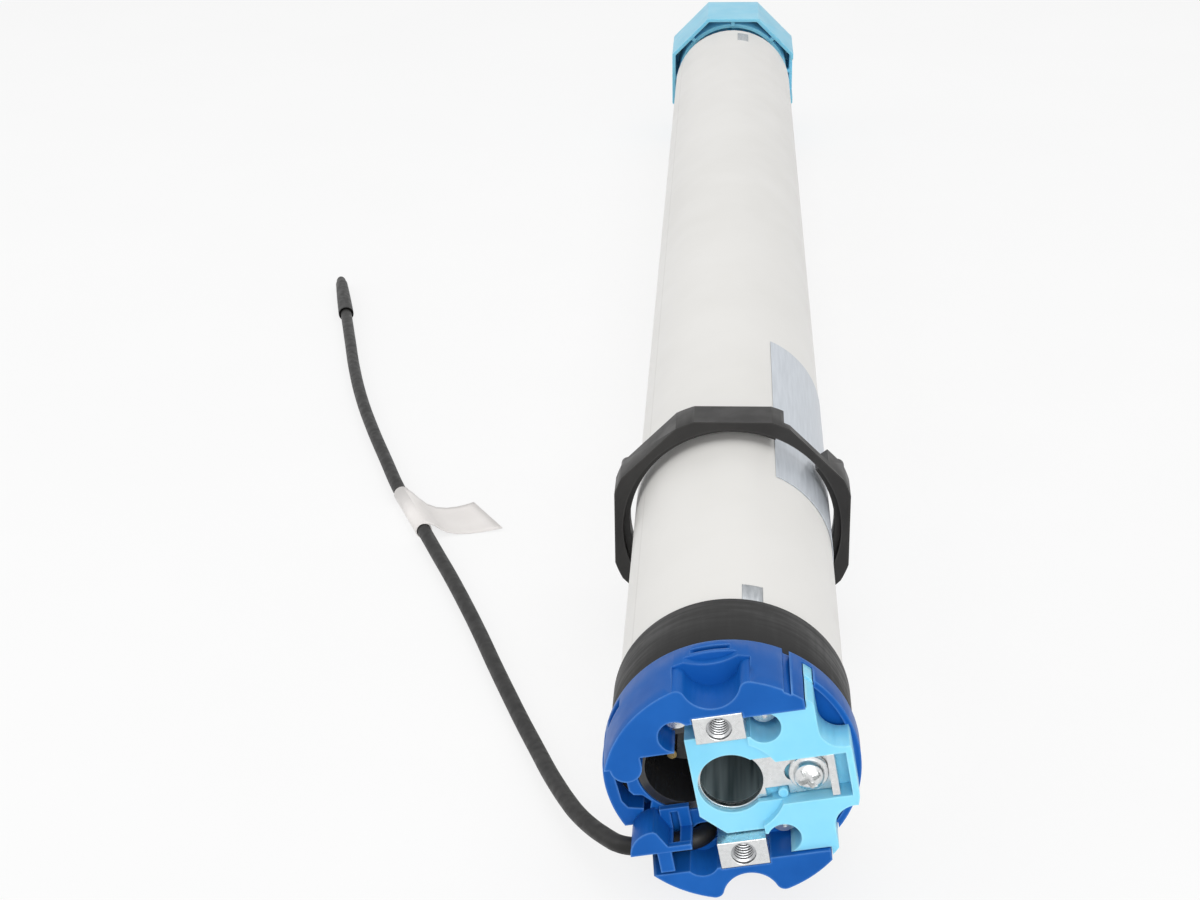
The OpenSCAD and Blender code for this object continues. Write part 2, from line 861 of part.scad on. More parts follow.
module head_screws() {
  front = flange_y - screw_proud;
  recess_h = 1.4;
  cross_w = 0.8;
  cross_l = 3.4;
  color([0.8, 0.81, 0.82]) in_head() each_head_screw() difference() {
    union() {
      bar(screw_head_r, front, front + screw_head_h - run_gap);
      bar(screw_r, front, flange_y + screw_len);
    }
    along_y(front - through, front + recess_h) {
      square([cross_l, cross_w], center = true);
      square([cross_w, cross_l], center = true);
    }
  }
}

// Core of the head

module socket_2d() {
  difference() {
    translate([socket_u, socket_w]) circle(socket_r);
    circle(pin_r + core_hub_wall);
  }
}

module head_core() {
  boss_y = flange_y + seat_gap;
  hub_y = latch_y + latch_t + 2 * seat_gap;
  color([0.1, 0.1, 0.11]) in_head() difference() {
    union() {
      bar(core_r, core_y, core_end);
      along_y(boss_y, core_y + fit_gap) flange_window_2d(0);
      // the hub runs forward through the insert, up to the latch
      bar(pin_r + insert_back_ease - seat_gap, hub_y, boss_y + fit_gap);
    }
    bar(pin_r, hub_y - through, insert_y + pin_depth);
    along_y(boss_y - through, boss_y + socket_depth) socket_2d();
    each_head_screw() bar(screw_r + run_gap, core_y - through, flange_y + screw_len + 1);
    bar_at(latch_screw_u, 0, latch_shank_r + run_gap, core_y - through, core_y + 4);
  }
}

module socket_pins() {
  pin = 1;
  pin_len = 5;
  spread = 3.4;
  left = socket_u - 3.6;
  floor_y = flange_y + seat_gap + socket_depth;
  color([0.8, 0.7, 0.4]) in_head() for (i = [-1 : 1])
    bar_at(left, socket_w + i * spread, pin, floor_y - pin_len, floor_y);
}

// Aerial

// A round run from the left end, an elbow, and a run back into the core
module antenna_gland() {
  left = gland_u[0] + run_gap;
  bend_y = gland_y + gland_bend;
  color([0.13, 0.13, 0.13]) in_head() {
    translate([left, gland_y, gland_w]) rotate([0, 90, 0])
      cylinder(r = gland_r, h = gland_u[1] - left + fit_gap);
    translate([gland_u[1], bend_y, gland_w])
      rotate([0, 0, -90]) rotate_extrude(angle = 90) translate([gland_bend, 0]) circle(gland_r);
    bar_at(gland_back_u, gland_w, gland_r, bend_y - fit_gap, core_y - run_gap);
  }
}

// Sweeps a round section along the cord's points
function unit(v) = v / norm(v);
function cord_heading(i) = unit(
  cord_points[min(i + 1, len(cord_points) - 1)] - cord_points[max(i - 1, 0)]);
function cord_ring(i, sides) =
  let (ahead = cord_heading(i), right = unit(cross(ahead, [0, 0, 1])), up = cross(right, ahead))
  [for (k = [0 : sides - 1]) let (a = 360 * (k + 0.5) / sides)
    cord_points[i] + cord_d / 2 * (cos(a) * right + sin(a) * up)];

module antenna_cord() {
  sides = 10;
  rings = len(cord_points);
  last = (rings - 1) * sides;
  points = [for (i = [0 : rings - 1]) each cord_ring(i, sides)];
  walls = [for (i = [0 : rings - 2]) for (k = [0 : sides - 1])
    let (a = i * sides + k, b = i * sides + (k + 1) % sides)
    each [[a, b, b + sides], [a, b + sides, a + sides]]];
  start = [for (k = [1 : sides - 2]) [0, k + 1, k]];
  end = [for (k = [1 : sides - 2]) [last, last + k, last + k + 1]];
  color([0.16, 0.15, 0.15]) polyhedron(points, concat(start, walls, end));
}

// Places its children at a cord point, with +Z along the cord and +X across it
module on_cord(i, ahead) {
  turn = atan2(ahead[1], ahead[0]);
  translate(cord_points[i]) rotate([0, 0, turn]) rotate([0, 90, 0]) children();
}

module antenna_cap() {
  sleeve_len = 6;
  tip_r = 1.7;
  step = 0.3;
  tip_len = 3;
  last = len(cord_points) - 1;
  ahead = cord_points[last] - cord_points[last - 1];
  color([0.1, 0.1, 0.1]) on_cord(last, ahead) {
    difference() {
      translate([0, 0, -sleeve_len])
        cylinder(r1 = cord_cap_r, r2 = tip_r + step, h = sleeve_len + cord_cap_len - tip_len);
      translate([0, 0, -sleeve_len - through])
        cylinder(r = cord_d / 2 + seat_gap, h = sleeve_len + through + run_gap);
    }
    translate([0, 0, cord_cap_len - tip_len - fit_gap]) cylinder(r = tip_r, h = tip_len);
  }
}

module antenna_tag() {
  wrap = 0.3;
  inner = cord_d / 2 + seat_gap;
  near = cord_points[tag_at];
  ahead = cord_points[tag_at + 1] - near;
  start = (norm(ahead) - tag_len) / 2;
  flag_margin = 6;
  color([0.92, 0.9, 0.88]) on_cord(tag_at, ahead) translate([0, 0, start]) {
    difference() {
      cylinder(r = inner + wrap, h = tag_len);
      translate([0, 0, -through]) cylinder(r = inner, h = tag_len + 2 * through);
    }
    translate([-tag_t / 2, -inner - tag_reach, 0]) cube([tag_t, tag_reach, tag_len - flag_margin]);
  }
}

// Running ring and crown

module running_ring() {
  color([0.2, 0.2, 0.2]) ring(ring_r, neck_r + seat_gap, ring_y, ring_y + ring_w);
}

// The outline of a wedge between two angles
module wedge_2d(from, to) {
  reach = 2 * flat_r;
  polygon([[0, 0], reach * [cos(from), sin(from)], reach * [cos(to), sin(to)]]);
}

module crown() {
  nub_angle = 64.5;
  nub_root = 2;
  nub_place = crown_bore_r + crown_lip + nub_r;
  gap_from = 37;
  gap_to = 66;
  plate_end = crown_y + crown_plate;
  crown_end = crown_y + crown_w;
  color([0.17, 0.17, 0.17]) {
    difference() {
      along_y(crown_y, crown_end) intersection() {
        octagon(flat_r);
        circle(corner_r - corner_trim);
      }
      bar(crown_bore_r + crown_lip, crown_y - through, plate_end);
      bar(crown_bore_r, plate_end - fit_gap, crown_end + through);
      // the band behind the plate is left out over two opposite flats
      for (turn = [0, 180])
        along_y(plate_end, crown_end + through) rotate(turn) wedge_2d(gap_from, gap_to);
    }
    for (side = [-1, 1])
      bar_at(side * nub_place * sin(nub_angle), nub_place * cos(nub_angle), nub_r,
        crown_end - nub_root, crown_end + nub_len);
  }
}

// Drive wheel

module drive_wheel() {
  collar_r = tube_r - 2.4;
  collar_t = 1.6;
  collar_y = wheel_y + 2;
  rib_y = wheel_y + 1;
  inner_rib_y = web_y - wheel_len / 4;
  cut_top = wheel_flat_r * tan(22.5) - 2.5;
  inside = wheel_flat_r - wheel_wall;
  color([0.45, 0.78, 0.95]) {
    difference() {
      union() {
        difference() {
          along_y(wheel_y, wheel_end) octagon(wheel_flat_r);
          along_y(wheel_y - through, web_y) octagon(inside);
        }
        ring(collar_r + collar_t, collar_r, collar_y, web_y + fit_gap);
        bar(hub_r, shoulder_y, web_y + fit_gap);
        for (i = [0 : 7]) rotate([0, 45 * i, 0]) {
          translate([-rib_t / 2, rib_y, collar_r + collar_t / 2])
            cube([rib_t, web_y + fit_gap - rib_y, inside - collar_r]);
          translate([-rib_t / 2, inner_rib_y, hub_r - 0.5])
            cube([rib_t, web_y + fit_gap - inner_rib_y, collar_r + 1 - hub_r]);
        }
      }
      along_y(shoulder_y - through, wheel_end + through)
        square(shaft_flat + 2 * run_gap, center = true);
      // cut in the front of the right flat
      translate([inside - 1, wheel_y - through, -cut_top])
        cube([wheel_wall + 3, wheel_cut + through, 2 * cut_top]);
    }
  }
}

module wheel_screw() {
  washer_r = shaft_flat * 0.72 + 2;
  washer_end = wheel_end + 1;
  head_r = 5;
  head_end = washer_end + 3;
  hex_r = 2.3;
  color([0.75, 0.76, 0.77]) difference() {
    union() {
      bar(washer_r, wheel_end, washer_end);
      bar(head_r, washer_end - fit_gap, head_end);
      bar(wheel_bolt_r, shaft_end - wheel_bolt_len, wheel_end + fit_gap);
    }
    along_y(washer_end + 1, head_end + through) circle(r = hex_r, $fn = 6);
  }
}

// Electronics

module board_tray() {
  end = tray_y + board_len + 2 * tray_margin;
  ledge_x = board_w / 2 - ledge_w / 2;
  color([0.25, 0.26, 0.28]) along_y(tray_y, end) {
    intersection() {
      difference() {
        circle(inner_r);
        circle(inner_r - tray_t);
      }
      box_2d(-inner_r, -inner_r, inner_r, board_z + board_t + 2);
    }
    intersection() {
      circle(inner_r - tray_t / 2);
      for (side = [-1, 1])
        translate([side * (ledge_x + 2), board_z - run_gap - ledge_h / 2])
          square([ledge_w + 4, ledge_h], center = true);
    }
  }
}

module control_board() {
  color([0.08, 0.32, 0.16]) translate([-board_w / 2, tray_y + tray_margin, board_z])
    cube([board_w, board_len, board_t]);
}

module board_parts() {
  top = board_z + board_t;
  y0 = tray_y + tray_margin;
  // place across, width and height as shares of the width, place along and length of the length
  parts = [[-0.23, 0.31, 0.28, 0.03, 0.15], [0.18, 0.46, 0.23, 0.03, 0.11],
    [-0.23, 0.36, 0.38, 0.3, 0.17], [0.2, 0.36, 0.38, 0.3, 0.17], [0, 0.6, 0.4, 0.56, 0.18],
    [-0.2, 0.23, 0.05, 0.82, 0.08], [0.2, 0.41, 0.26, 0.8, 0.11]];
  color([0.15, 0.2, 0.3]) for (p = parts)
    translate([(p[0] - p[1] / 2) * board_w, y0 + p[3] * board_len, top])
      cube([p[1] * board_w, p[4] * board_len, p[2] * board_w]);
}

module lead_holes(y0, y1) {
  for (i = [-1 : 1]) bar_at(i * lead_step, lead_z, lead_r + run_gap, y0, y1);
}

module capacitor() {
  color([0.75, 0.76, 0.78]) union() {
    bar(cap_r, cap_y, cap_y + cap_len);
    bar(cap_r - 2, cap_y + cap_len - fit_gap, cap_y + cap_len + 2);
  }
}

module capacitor_holders() {
  color([0.2, 0.2, 0.22]) for (y0 = [cap_y + 4, cap_y + cap_len - 4 - holder_w])
    difference() {
      ring(inner_r, cap_r + run_gap, y0, y0 + holder_w);
      lead_holes(y0 - through, y0 + holder_w + through);
    }
}

module motor_leads() {
  color([0.55, 0.3, 0.15]) for (i = [-1 : 1])
    bar_at(i * lead_step, lead_z, lead_r, core_end + run_gap, front_y - run_gap);
}

// Motor

// End shield with its bearing seat, its skirt reaching to the stator
module shield(plate_y, skirt_y0, skirt_y1) {
  skirt_t = 2.2;
  ring(inner_r, bearing_r + fit_gap, plate_y, plate_y + shield_t);
  ring(inner_r, inner_r - skirt_t, skirt_y0, skirt_y1);
}

module front_shield() {
  color([0.7, 0.71, 0.72])
    shield(front_y, front_end - fit_gap, stator_y);
}

module rear_shield() {
  color([0.7, 0.71, 0.72])
    shield(rear_y, stator_end, rear_y + fit_gap);
}

module slots_2d(shrink) {
  for (i = [0 : slot_count - 1]) rotate(360 * i / slot_count)
    box_2d(slot_in + shrink, shrink - slot_w / 2, slot_out - shrink, slot_w / 2 - shrink);
}

module stator() {
  color([0.6, 0.6, 0.62]) along_y(stator_y, stator_end) difference() {
    circle(inner_r);
    circle(rotor_r + slide_gap);
    slots_2d(0);
  }
}

module stator_winding() {
  color([0.75, 0.42, 0.2]) {
    along_y(stator_y - winding_h / 2, stator_end + winding_h / 2) slots_2d(run_gap);
    ring(slot_out - 0.3, slot_in + 0.3, stator_y - winding_h, stator_y - run_gap);
    ring(slot_out - 0.3, slot_in + 0.3, stator_end + run_gap, stator_end + winding_h);
  }
}

module rotor() {
  color([0.65, 0.66, 0.68])
    ring(rotor_r, shaft_r + fit_gap, stator_y + 1, stator_end - 1);
}

module rotor_shaft() {
  color([0.8, 0.81, 0.82]) union() {
    bar(shaft_r, front_y + 1, pinion_y);
    bar(pinion_bore, pinion_y - fit_gap, planet_y(1) + planet_w[0]);
  }
}

module rotor_bearings() {
  color([0.78, 0.79, 0.8]) for (y0 = [front_y, rear_y])
    ring(bearing_r, shaft_r + run_gap, y0, y0 + shield_t);
}

module brake_pad() {
  color([0.35, 0.3, 0.26])
    ring(inner_r - 3, bearing_r + 1, rear_y + shield_t, rear_y + shield_t + brake_pad_t);
}

module brake_disc() {
  y0 = rear_y + shield_t + brake_pad_t + seat_gap;
  color([0.6, 0.61, 0.62]) ring(inner_r - 5, shaft_r + fit_gap, y0, y0 + brake_disc_t);
}

// Gear train

module gear_case() {
  color([0.55, 0.56, 0.58]) difference() {
    bar(case_r, case_y, cover_y);
    along_y(pinion_y, cover_y + through) ring_gear_2d();
    bar(shaft_r + slide_gap, case_y - through, pinion_y + through);
  }
}

module sun_pinion() {
  color([0.72, 0.72, 0.7]) along_y(pinion_y + seat_gap, planet_y(1) + planet_w[0]) difference() {
    gear_2d(sun_teeth, 0);
    circle(pinion_bore + fit_gap);
  }
}

module planet(stage, i) {
  place = 120 * i;
  phase = place + 180 - (180 - place * sun_teeth) / planet_teeth;
  color([0.85, 0.83, 0.76]) translate([planet_orbit * cos(place), 0, planet_orbit * sin(place)])
    along_y(planet_y(stage), planet_y(stage) + planet_w[stage - 1]) difference() {
      gear_2d(planet_teeth, phase);
      circle(planet_pin_r + run_gap);
    }
}

// Carrier plate with its planet pins, in front of which its planets turn
module carrier_body(stage) {
  bar(carrier_r, carrier_y(stage), carrier_y(stage) + carrier_t);
  for (i = [0 : 2])
    bar_at(planet_orbit * cos(120 * i), planet_orbit * sin(120 * i), planet_pin_r,
      planet_y(stage), carrier_y(stage) + fit_gap);
}

// A carrier that also holds the next stage's sun gear
module sun_carrier(stage) {
  color([0.6, 0.61, 0.6]) {
    carrier_body(stage);
    along_y(carrier_y(stage) + carrier_t - fit_gap, planet_y(stage + 1) + planet_w[stage])
      gear_2d(sun_teeth, 0);
  }
}

module carrier_3() {
  color([0.6, 0.61, 0.6]) difference() {
    carrier_body(3);
    along_y(carrier_y(3) - through, cover_y) square(tenon + 2 * run_gap, center = true);
  }
}

module output_shaft() {
  color([0.7, 0.71, 0.72]) difference() {
    union() {
      along_y(carrier_y(3), cover_y) square(tenon, center = true);
      bar(output_r, carrier_y(3) + carrier_t, shoulder_y - stage_gap / 2);
      along_y(tube_end, shaft_end) intersection() {
        square(shaft_flat, center = true);
        circle(output_r);
      }
    }
    bar(wheel_bolt_r + fit_gap, shaft_end - wheel_bolt_len - 1, shaft_end + through);
  }
}

module output_bearing() {
  color([0.75, 0.6, 0.35])
    ring(output_r + bearing_wall, output_r + run_gap, bearing_y, tube_end + cover_lip);
}

module end_cover() {
  color([0.3, 0.31, 0.33]) difference() {
    bar(tube_ir - fit_gap, cover_y, tube_end + cover_lip);
    bar(output_r + slide_gap, cover_y - through, tube_end + cover_lip + through);
    bar(output_r + bearing_wall + fit_gap, bearing_y, tube_end + cover_lip + through);
    key_room(gear_key_end - gear_key_len - run_gap, gear_key_end + run_gap);
  }
}

// Nodes

motor_tube();
head_key();
gear_key();
rating_label();
head_housing();
cable_clamp();
bracket_insert();
head_core();
socket_pins();
insert_nuts();
head_screws();
latch_plate();
latch_screw();
antenna_gland();
antenna_cord();
antenna_cap();
antenna_tag();
running_ring();
crown();
drive_wheel();
wheel_screw();
board_tray();
control_board();
board_parts();
capacitor();
capacitor_holders();
motor_leads();
front_shield();
stator();
stator_winding();
rotor();
rotor_shaft();
rotor_bearings();
rear_shield();
brake_disc();
brake_pad();
gear_case();
sun_pinion();
planet(1, 0);  // planet_1a
planet(1, 1);  // planet_1b
planet(1, 2);  // planet_1c
sun_carrier(1);  // carrier_1
planet(2, 0);  // planet_2a
planet(2, 1);  // planet_2b
planet(2, 2);  // planet_2c
sun_carrier(2);  // carrier_2
planet(3, 0);  // planet_3a
planet(3, 1);  // planet_3b
planet(3, 2);  // planet_3c
carrier_3();
output_shaft();
output_bearing();
end_cover();
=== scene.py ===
# %% [markdown]
# # A tubular roller blind motor
# The motor is a long painted tube. A dark blue head at the near end takes the wall bracket,
# a black octagon crown slides on the tube, and a light blue octagon wheel at the far end turns
# the blind's own tube. The solids come from a CAD model, already in place and in metres, so
# this script only dresses them: it adds the camera, the aerial cord, small details such as
# threads, and a finish for every surface.

# %% Load the solids
import json
import math

import bpy
from mathutils import Matrix, Vector


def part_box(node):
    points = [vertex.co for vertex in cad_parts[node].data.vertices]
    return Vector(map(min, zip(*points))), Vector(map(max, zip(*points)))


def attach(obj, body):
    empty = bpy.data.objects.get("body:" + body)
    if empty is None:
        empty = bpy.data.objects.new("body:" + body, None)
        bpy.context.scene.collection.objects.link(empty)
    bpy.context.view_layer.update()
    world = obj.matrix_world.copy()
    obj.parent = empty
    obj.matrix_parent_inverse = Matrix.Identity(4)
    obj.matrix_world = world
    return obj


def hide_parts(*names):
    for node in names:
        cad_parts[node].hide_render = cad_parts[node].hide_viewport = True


MM = 0.001
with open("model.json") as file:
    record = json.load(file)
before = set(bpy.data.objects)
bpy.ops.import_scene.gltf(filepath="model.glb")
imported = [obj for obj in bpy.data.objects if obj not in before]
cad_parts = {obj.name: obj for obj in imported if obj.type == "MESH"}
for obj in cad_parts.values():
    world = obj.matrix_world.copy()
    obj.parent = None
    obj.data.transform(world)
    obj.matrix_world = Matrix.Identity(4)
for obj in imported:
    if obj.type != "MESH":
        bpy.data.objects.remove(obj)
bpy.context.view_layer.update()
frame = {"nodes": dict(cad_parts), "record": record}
nodes = frame["nodes"]

# %% [markdown]
# ## The camera
# The photograph looks down the motor from just above its head, so the tube runs away from us and
# the far wheel looks small. The camera's place, tilt and lens were fitted to the crown, the tube,
# the wheel and the round head. Three angles turn into three directions: right, up and ahead.

# %% Find the camera's directions
CAMERA_PLACE = Vector((-0.001701, -0.354375, 0.236523))
CAMERA_TILT = math.radians(24.559)
CAMERA_TURN = math.radians(-3.724)
CAMERA_ROLL = math.radians(-1.096)
CAMERA_LENS_MM = 63.690
SENSOR_MM = 36.0
NEAREST_SEEN = 0.01


def camera_directions(tilt, turn, roll):
    """Right, up and ahead of a camera that is turned, tilted down and rolled."""
    level = math.cos(tilt)
    ahead = Vector((math.sin(turn) * level, math.cos(turn) * level, -math.sin(tilt)))
    right = Vector((math.cos(turn), -math.sin(turn), 0))
    up = right.cross(ahead)
    return (
        right * math.cos(roll) + up * math.sin(roll),
        up * math.cos(roll) - right * math.sin(roll),
        ahead,
    )


right, up, ahead = camera_directions(CAMERA_TILT, CAMERA_TURN, CAMERA_ROLL)
print("camera looks along", [round(part, 3) for part in ahead])

# %% Place the camera
lens = bpy.data.cameras.new("camera")
lens.sensor_width = SENSOR_MM
lens.lens = CAMERA_LENS_MM
lens.clip_start = NEAREST_SEEN
camera = bpy.data.objects.new("camera", lens)
camera.matrix_world = Matrix((right, up, -ahead)).transposed().to_4x4()
camera.location = CAMERA_PLACE
bpy.context.scene.collection.objects.link(camera)
bpy.context.scene.camera = camera
print("camera at", [round(part, 3) for part in camera.location])

# %% [markdown]
# ## The aerial cord's route
# A thin rubber cord leaves the head at its lower left, drops to the table and lies there in one
# long bend. The steps repeat the CAD model's route: to the left and back, in mm, and the share of
# the drop to the table.

# %% Measure the route
CORD_D = 3.8 * MM
CORD_EXIT = Vector((-15.701, 6.7, -17.492)) * MM
CORD_LOW = -26.2 * MM
CORD_STEPS = (
    (0, 0, 0), (1.87, 0, 0.038), (4.92, 0.54, 0.093), (7.6, 2.1, 0.144), (9.5, 4.3, 0.196),
    (11, 6.5, 0.254), (12.54, 8.8, 0.311), (16.5, 15.96, 0.46), (19.61, 23.29, 0.598),
    (22.35, 30.51, 0.713), (24.92, 37.61, 0.805), (27.32, 44.74, 0.885), (29.75, 51.73, 0.943),
    (32.22, 58.66, 0.983), (37.02, 72.15, 1), (41.92, 86.08, 1), (46.92, 100.75, 1),
    (52.45, 116.19, 1), (58.6, 132.49, 1), (63, 143.5, 1), (67.9, 155.9, 1), (79.36, 183.97, 1),
    (86.32, 204.33, 1), (93.56, 226, 1), (100.6, 249.1, 1), (107, 273.8, 1), (112.9, 300.26, 1),
    (116.6, 317.04, 1), (119.6, 330.6, 1),
)
cord_points = [
    CORD_EXIT + Vector((-left * MM, back * MM, drop * (CORD_LOW - CORD_EXIT.z)))
    for left, back, drop in CORD_STEPS
]

# %% [markdown]
# ## The aerial cord
# A mesh tube would need many rings. A Bezier curve with a round bevel needs only the points of the
# route, and its automatic handles keep the bends smooth. Blender's box around a curve counts each
# point's own radius, so the points carry the cord's radius and the bevel is one metre.

# %% Lay the cord
def link(thing, body):
    """Shows a new piece and makes it move with a body of the motor."""
    bpy.context.scene.collection.objects.link(thing)
    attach(thing, body)
    return thing


curve = bpy.data.curves.new("aerial_cord", "CURVE")
curve.dimensions = "3D"
curve.bevel_depth = 1.0
curve.bevel_resolution = 8
curve.resolution_u = 12
curve.use_fill_caps = True
line = curve.splines.new("BEZIER")
line.bezier_points.add(len(cord_points) - 1)
for knot, place in zip(line.bezier_points, cord_points):
    knot.co = place
    knot.radius = CORD_D / 2
    knot.handle_left_type = knot.handle_right_type = "AUTO"
aerial_cord = link(bpy.data.objects.new("aerial_cord", curve), "motor")
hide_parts("antenna_cord")
print("cord drawn through", len(line.bezier_points), "points")

# %% [markdown]
# ## A skin over rings
# The cap and the screw are both stacks of rings about an axis. One helper joins each ring to the
# next and closes the two ends, so the mesh has no holes.

# %% Make the skin helper
def circle(count):
    """The angles of points spread evenly round a circle."""
    return [2 * math.pi * i / count for i in range(count)]


def skin(name, rings, sharp):
    """A closed mesh over rings of points; an edge that turns more than sharp stays crisp."""
    count = len(rings[0])
    points = [point for ring in rings for point in ring]
    faces = []
    for first in range(0, len(points) - count, count):
        for i in range(count):
            a, b = first + i, first + (i + 1) % count
            faces.append((a, b, b + count, a + count))
    faces.append(tuple(range(count))[::-1])
    faces.append(tuple(range(len(points) - count, len(points))))
    mesh = bpy.data.meshes.new(name)
    mesh.from_pydata(points, [], faces)
    mesh.shade_smooth()
    mesh.set_sharp_from_angle(angle=sharp)
    return bpy.data.objects.new(name, mesh)


print("a ring of 4 has its points at", [round(math.degrees(angle)) for angle in circle(4)])

# %% [markdown]
# ## The cord's cap
# The cord ends in a slim moulded cap: a sleeve with a thin rim that the cord slips into, a long
# taper, and a small stepped tip. Every section is round, so the cap is a profile of distances and
# radii, in mm, turned about the cord's last direction.

# %% Turn the cap
CAP_SIDES = 40
CAP_SHARP = math.radians(32)
CAP_PROFILE = (
    (-5.0, 1.9), (-5.6, 2.05), (-6.0, 2.4), (-5.9, 2.58), (-5.4, 2.6), (0, 2.55), (10, 2.4),
    (20, 2.18), (24.5, 2.06), (25.0, 1.98), (25.2, 1.72), (25.6, 1.68), (28.2, 1.62), (29.2, 1.4),
    (29.8, 0.95), (30.0, 0.4),
)
cap_along = (cord_points[-1] - cord_points[-2]).normalized()
cap_across = cap_along.orthogonal().normalized()
cap_other = cap_along.cross(cap_across)
cap_spokes = [cap_across * math.cos(angle) + cap_other * math.sin(angle) for angle in circle(CAP_SIDES)]
cap_rings = [
    [cord_points[-1] + (cap_along * distance + spoke * radius) * MM for spoke in cap_spokes]
    for distance, radius in CAP_PROFILE
]
aerial_cap = link(skin("aerial_cap", cap_rings, CAP_SHARP), "motor")
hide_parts("antenna_cap")
print("cap rings:", len(cap_rings))

# %% [markdown]
# ## The tag's flag
# A strip of white film is folded round the cord and stuck to itself. Its flag leaves the top of
# the fold, drops to the table and lies there with its tip a little raised. Film bends one way
# only, so the flag is a row of straight lines along the cord. Each entry says how far out a line
# lies, how high, and where it begins and ends along the cord, all in mm.

# %% Bend the flag
TAG_AT = 20
FLAG_LINES = (
    (0.0, 2.15, -12.5, 12.5), (1.3, 1.95, -12.7, 10.9), (2.6, 1.15, -12.8, 9.3),
    (4.0, -0.2, -13.0, 7.8), (5.6, -1.4, -13.2, 6.3), (8.0, -2.2, -13.5, 4.7),
    (10.7, -2.45, -13.9, 3.7), (13.5, -2.4, -14.3, 3.3), (16.3, -2.15, -14.8, 3.2),
    (18.7, -1.75, -15.3, 3.2),
)
FLAG_SLANT = 0.16
FLAG_ROWS = 12

tag_along = (cord_points[TAG_AT + 1] - cord_points[TAG_AT]).normalized()
tag_out = tag_along.cross(Vector((0, 0, 1))).normalized()
tag_middle = (cord_points[TAG_AT] + cord_points[TAG_AT + 1]) / 2


def tag_place(out, rise, along):
    """A point beside the tag's middle, from distances in mm."""
    return tag_middle + (tag_out * out + tag_along * along + Vector((0, 0, rise))) * MM


tag_points, tag_faces = [], []
for i in range(FLAG_ROWS):
    share = i / (FLAG_ROWS - 1)
    reach = 1 + FLAG_SLANT * (1 - share)
    for out, rise, begin, end in FLAG_LINES:
        tag_points.append(tag_place(out * reach, rise, begin + (end - begin) * share))
for i in range(FLAG_ROWS - 1):
    for k in range(len(FLAG_LINES) - 1):
        a = i * len(FLAG_LINES) + k
        tag_faces.append((a, a + 1, a + 1 + len(FLAG_LINES), a + len(FLAG_LINES)))
print("flag faces:", len(tag_faces))

# %% [markdown]
# ## The tag's sleeve
# The fold itself is a sleeve that hugs the cord: two circles joined by a band. A Solidify modifier
# then gives the whole sheet the thickness of film.

# %% Wrap the sleeve
TAG_HALF = 12.5
SLEEVE_R = 2.15
SLEEVE_SIDES = 32
TAG_FILM = 0.25 * MM

first = len(tag_points)
for along in (-TAG_HALF, TAG_HALF):
    for angle in circle(SLEEVE_SIDES):
        tag_points.append(tag_place(SLEEVE_R * math.cos(angle), SLEEVE_R * math.sin(angle), along))
for k in range(SLEEVE_SIDES):
    a, b = first + k, first + (k + 1) % SLEEVE_SIDES
    tag_faces.append((a, b, b + SLEEVE_SIDES, a + SLEEVE_SIDES))
tag_mesh = bpy.data.meshes.new("aerial_tag")
tag_mesh.from_pydata(tag_points, [], tag_faces)
tag_mesh.shade_smooth()
aerial_tag = link(bpy.data.objects.new("aerial_tag", tag_mesh), "motor")
film = aerial_tag.modifiers.new("film", "SOLIDIFY")
film.thickness = TAG_FILM
film.offset = 0
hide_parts("antenna_tag")
print("tag faces:", len(tag_faces))

# %% [markdown]
# ## Threads in the two nuts
# The wall bracket is bolted to two square nuts in the head. Their holes are plain in the CAD model,
# and what makes them read as nuts is the thread. A thread is a small ridge that climbs as it goes
# round: a section with a flat crest, drawn at every step of a helix and joined to the next. The
# flank that faces out of the nut, towards the front, takes a paler steel as a painted highlight,
# and the rest of the ridge a darker iron as painted shade.

# %% Draw a thread
THREAD_R = 2.5 * MM
THREAD_STEP = 0.9 * MM
THREAD_SIDES = 28
ROOT_R = THREAD_R + 0.05 * MM
CREST_R = THREAD_R - 0.45 * MM
THREAD_SECTION = ((ROOT_R, -0.5), (CREST_R, -0.2), (CREST_R, 0.2), (ROOT_R, 0.5))


def thread(name, middle, length):
    """A closed helical ridge inside a round hole along Y."""
    steps = int(length / THREAD_STEP) * THREAD_SIDES
    corners = len(THREAD_SECTION)
    points, faces = [], []
    for i in range(steps + 1):
        angle = 2 * math.pi * i / THREAD_SIDES
        spoke = Vector((math.cos(angle), 0, math.sin(angle)))
        for radius, shift in THREAD_SECTION:
            climb = (i / THREAD_SIDES + shift) * THREAD_STEP
            points.append(middle + spoke * radius + Vector((0, climb, 0)))
    for i in range(steps):
        for k in range(corners):
            a, b = corners * i + k, corners * i + (k + 1) % corners
            faces.append((a, a + corners, b + corners, b))
    last = len(points) - corners
    faces.append(tuple(range(corners)))
    faces.append(tuple(range(last, last + corners))[::-1])
    mesh = bpy.data.meshes.new(name)
    mesh.from_pydata(points, [], faces)
    # The front flank gets the first finish as a painted highlight, the rest of the ridge the second as
    # painted shade.
    for index, face in enumerate(mesh.polygons):
        face.material_index = 0 if index % corners == 0 else 1
    return bpy.data.objects.new(name, mesh)


print("thread climbs", THREAD_STEP / MM, "mm a turn")

# %% [markdown]
# The head is turned a little about the motor's axis, so places on it are given across and up the
# turned head, and a helper brings them into the motor's frame.

# %% Set the threads in the nuts
HEAD_ROLL = math.radians(10)
BOLT_PITCH = 29.6 * MM
THREAD_INSET = 0.5 * MM


def head_place(across, y, upward):
    """A point of the turned head in the motor's frame."""
    return Vector((across * math.cos(HEAD_ROLL) - upward * math.sin(HEAD_ROLL), y,
                   across * math.sin(HEAD_ROLL) + upward * math.cos(HEAD_ROLL)))


